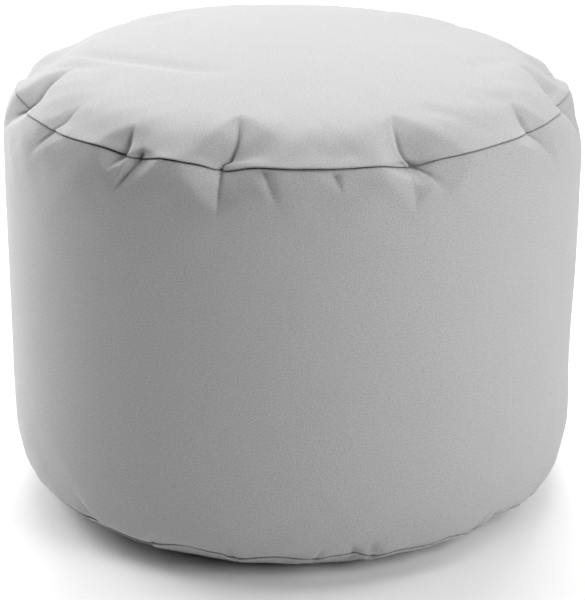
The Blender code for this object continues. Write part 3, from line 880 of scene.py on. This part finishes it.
def cloth_material(name, offset):
    """A plain-woven, coated polyester: crossing threads, slubs along them, and some unevenness."""
    material = bpy.data.materials.new(name)
    material.use_nodes = True
    tree = material.node_tree
    shader = tree.nodes["Principled BSDF"]
    threads = new_node(tree, "ShaderNodeUVMap", uv_map=THREADS).outputs["UV"]
    places = stretched(tree, threads, (1, 1, 1), (offset, OFFSET_SLOPE * offset, 0))
    weave = weave_height(tree, places)
    slubs = slub_height(tree, places)
    speckle = noise_node(tree, places, 1 / SPECKLE_SIZE, SPECKLE_DETAIL, SPECKLE_ROUGHNESS)
    cloudy = noise_node(tree, places, CLOUD_SCALE, CLOUD_DETAIL, CLOUD_ROUGHNESS)

    changes = []
    for height, variation in (
        (slubs, SLUB_TONE), (speckle, SPECKLE_TONE), (cloudy, CLOUD_TONE), (weave, WEAVE_TONE),
    ):
        centred = math_node(tree, "SUBTRACT", height, variation.mean)
        changes.append(math_node(tree, "MULTIPLY", centred, variation.amount))
    tone = changes[0]
    for change in changes[1:]:
        tone = math_node(tree, "ADD", tone, change)
    tone = math_node(tree, "ADD", tone, 1.0)
    colour = new_node(tree, "ShaderNodeMix", data_type="RGBA", blend_type="MULTIPLY")
    colour.inputs[0].default_value = 1.0
    colour.inputs[6].default_value = (*CLOTH_TINT, 1.0)
    tree.links.new(tone, colour.inputs[7])
    tree.links.new(colour.outputs[2], shader.inputs["Base Color"])

    bump = new_node(tree, "ShaderNodeBump")
    bump.inputs["Strength"].default_value = BUMP_STRENGTH
    bump.inputs["Distance"].default_value = BUMP_DISTANCE
    relief = math_node(tree, "ADD", weave, math_node(tree, "MULTIPLY", slubs, SLUB_HEIGHT))
    tree.links.new(relief, bump.inputs["Height"])
    tree.links.new(bump.outputs["Normal"], shader.inputs["Normal"])
    for socket, value in CLOTH_FINISH.items():
        shader.inputs[socket].default_value = value
    return material


def build_side_wall():
    """The filled bag with its band of cloth. Its two ends lie under the panels."""
    crown = crown_rings()
    under_base = [(ring, UNDER_PANEL) for ring in base_rings()[HIDDEN_BASE_RINGS]]
    under_crown = [(ring, UNDER_PANEL) for ring in crown[HIDDEN_CROWN_RINGS] + crown[-1:]]
    layers = under_base + [(ring, 0.0) for ring in wall_rings()] + under_crown
    piece = make_piece("wall_cloth", layers, cloth_material("wall_weave", WALL_OFFSET))
    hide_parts("side_wall")
    return piece


def build_top_panel():
    """The crown: the cloth's underside from its middle outwards, then its outside back."""
    rings = crown_rings()
    layers = [(ring, CLOTH) for ring in reversed(rings)] + [(ring, 0.0) for ring in rings]
    piece = make_piece("top_cloth_round", layers, cloth_material("top_weave", TOP_OFFSET))
    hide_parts("top_panel")
    return piece


def build_base_panel():
    """The base: the cloth's outside from its middle outwards and up, then its inside back."""
    rings = base_rings()
    layers = [(ring, 0.0) for ring in rings] + [(ring, CLOTH) for ring in reversed(rings)]
    piece = make_piece("base_cloth_round", layers, cloth_material("base_weave", BASE_OFFSET))
    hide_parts("base_panel")
    return piece


# The camera's aim and distance in metres, its pitch down in degrees, and its lens in millimetres
CAMERA_AIM = (0.0, 0.0, 0.161)
CAMERA_DISTANCE = 2.129
CAMERA_PITCH = 21.51
CAMERA_LENS = 142.2
SENSOR_WIDTH = 36


def place_camera():
    """A camera in front of the stool, which looks down on it as the photo does."""
    data = bpy.data.cameras.new("camera")
    data.lens = CAMERA_LENS
    data.sensor_width = SENSOR_WIDTH
    camera = bpy.data.objects.new("camera", data)
    pitch = math.radians(CAMERA_PITCH)
    back = Vector((0.0, -math.cos(pitch), math.sin(pitch))) * CAMERA_DISTANCE
    camera.location = Vector(CAMERA_AIM) + back
    camera.rotation_euler = (-back).to_track_quat("-Z", "Y").to_euler()
    bpy.context.scene.collection.objects.link(camera)
    bpy.context.scene.camera = camera


# Soft lights. The strongest is high behind the stool. The front is lit more from +X than from -X
Softbox = namedtuple("Softbox", "name place aim width height power")
SOFTBOXES = (
    Softbox("overhead", (0.0, 0.0, 2.2), (0.0, 0.0, 0.2), 1.6, 1.6, 14),
    Softbox("overhead_back", (0.0, 3.0, 3.1), (0.0, 0.0, 0.3), 3.6, 1.8, 165),
    Softbox("right_front", (1.5, -1.2, 1.15), (0.0, 0.0, 0.2), 1.0, 1.0, 23),
    Softbox("right_high", (1.5, 0.2, 1.8), (0.0, 0.0, 0.2), 1.0, 1.4, 13),
    Softbox("left_high", (-1.5, 0.2, 1.8), (0.0, 0.0, 0.2), 1.0, 1.4, 9),
    Softbox("left_back", (-1.6, 1.2, 0.8), (0.0, 0.0, 0.2), 1.0, 1.4, 40),
)
WHITE = (1.0, 1.0, 1.0, 1.0)
FLOOR_HALF_SIDE = 6.0
FLOOR_ROUGHNESS = 0.8
SEEN_STRENGTH = 1.2
AMBIENT = 0.004


def place_lights():
    """The soft lights, each turned to its aim."""
    for box in SOFTBOXES:
        data = bpy.data.lights.new(box.name, "AREA")
        data.shape = "RECTANGLE"
        data.size = box.width
        data.size_y = box.height
        data.energy = box.power
        light = bpy.data.objects.new(box.name, data)
        light.location = box.place
        way = Vector(box.aim) - Vector(box.place)
        light.rotation_euler = way.to_track_quat("-Z", "Y").to_euler()
        bpy.context.scene.collection.objects.link(light)


def make_world():
    """A white studio: white where it is seen, and a weak even light on things."""
    world = bpy.data.worlds.new("studio")
    world.use_nodes = True
    tree = world.node_tree
    shown = tree.nodes["Background"]
    lit = new_node(tree, "ShaderNodeBackground")
    for background, strength in ((shown, SEEN_STRENGTH), (lit, AMBIENT)):
        background.inputs["Color"].default_value = WHITE
        background.inputs["Strength"].default_value = strength
    path = new_node(tree, "ShaderNodeLightPath")
    mix = new_node(tree, "ShaderNodeMixShader")
    tree.links.new(path.outputs["Is Camera Ray"], mix.inputs[0])
    tree.links.new(lit.outputs[0], mix.inputs[1])
    tree.links.new(shown.outputs[0], mix.inputs[2])
    tree.links.new(mix.outputs[0], tree.nodes["World Output"].inputs[0])
    bpy.context.scene.world = world


def make_floor():
    """A plain white floor, which isn't part of the stool."""
    mesh = bpy.data.meshes.new("studio_floor")
    side = FLOOR_HALF_SIDE
    corners = [(-side, -side, 0), (side, -side, 0), (side, side, 0), (-side, side, 0)]
    mesh.from_pydata(corners, [], [(0, 1, 2, 3)])
    material = bpy.data.materials.new("studio_paper")
    material.use_nodes = True
    shader = material.node_tree.nodes["Principled BSDF"]
    shader.inputs["Base Color"].default_value = WHITE
    shader.inputs["Roughness"].default_value = FLOOR_ROUGHNESS
    mesh.materials.append(material)
    floor = bpy.data.objects.new("studio_floor", mesh)
    bpy.context.scene.collection.objects.link(floor)


bpy.context.scene.view_settings.view_transform = "Standard"
for build in (build_side_wall, build_top_panel, build_base_panel):
    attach(build(), "root")
place_camera()
place_lights()
make_world()
make_floor()
